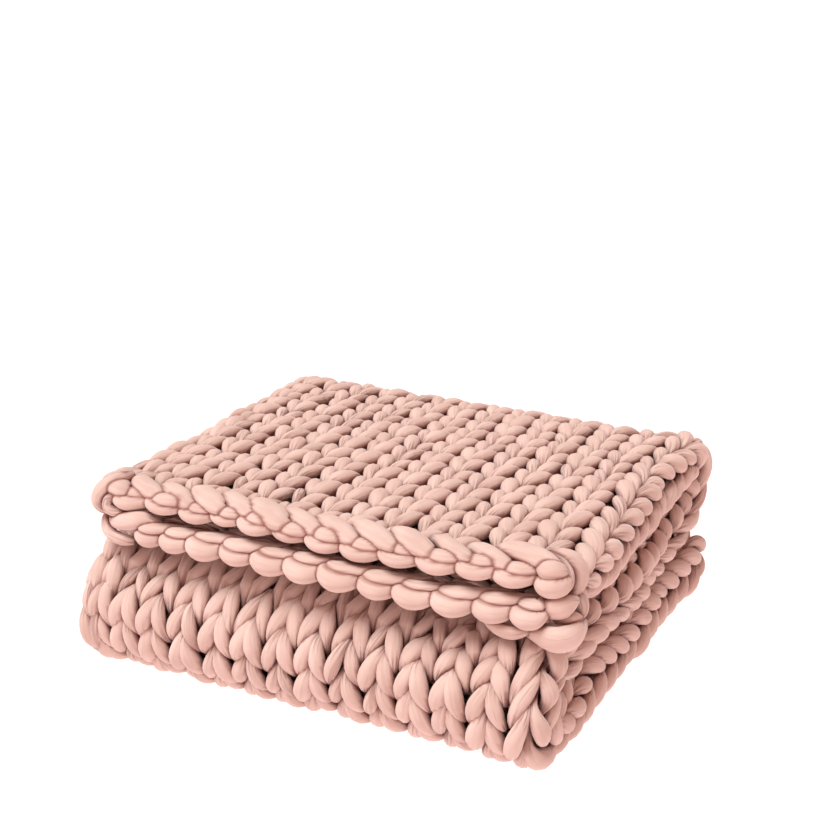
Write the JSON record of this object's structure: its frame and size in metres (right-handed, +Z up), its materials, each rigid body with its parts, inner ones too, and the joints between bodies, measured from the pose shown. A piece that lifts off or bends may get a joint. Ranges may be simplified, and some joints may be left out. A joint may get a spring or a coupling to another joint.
{
  "type": "weighted blanket",
  "caption": "Chunky hand-knitted weighted blanket in dusty pink jersey yarn, doubled and folded in three into a stack",
  "frame": {"origin": "Centre of the folded blanket's outline, on the surface that it lies on.", "axes": "+Z up; -Y is the side with the bound-off edge; +X is the side where the doubled cloth turns over."},
  "size_m": [0.5314, 0.5018, 0.1974],
  "materials": {
    "yarn": "matte cotton jersey tube"
  },
  "bodies": {
    "root": {"blanket": "yarn"}
  },
  "joints": []
}
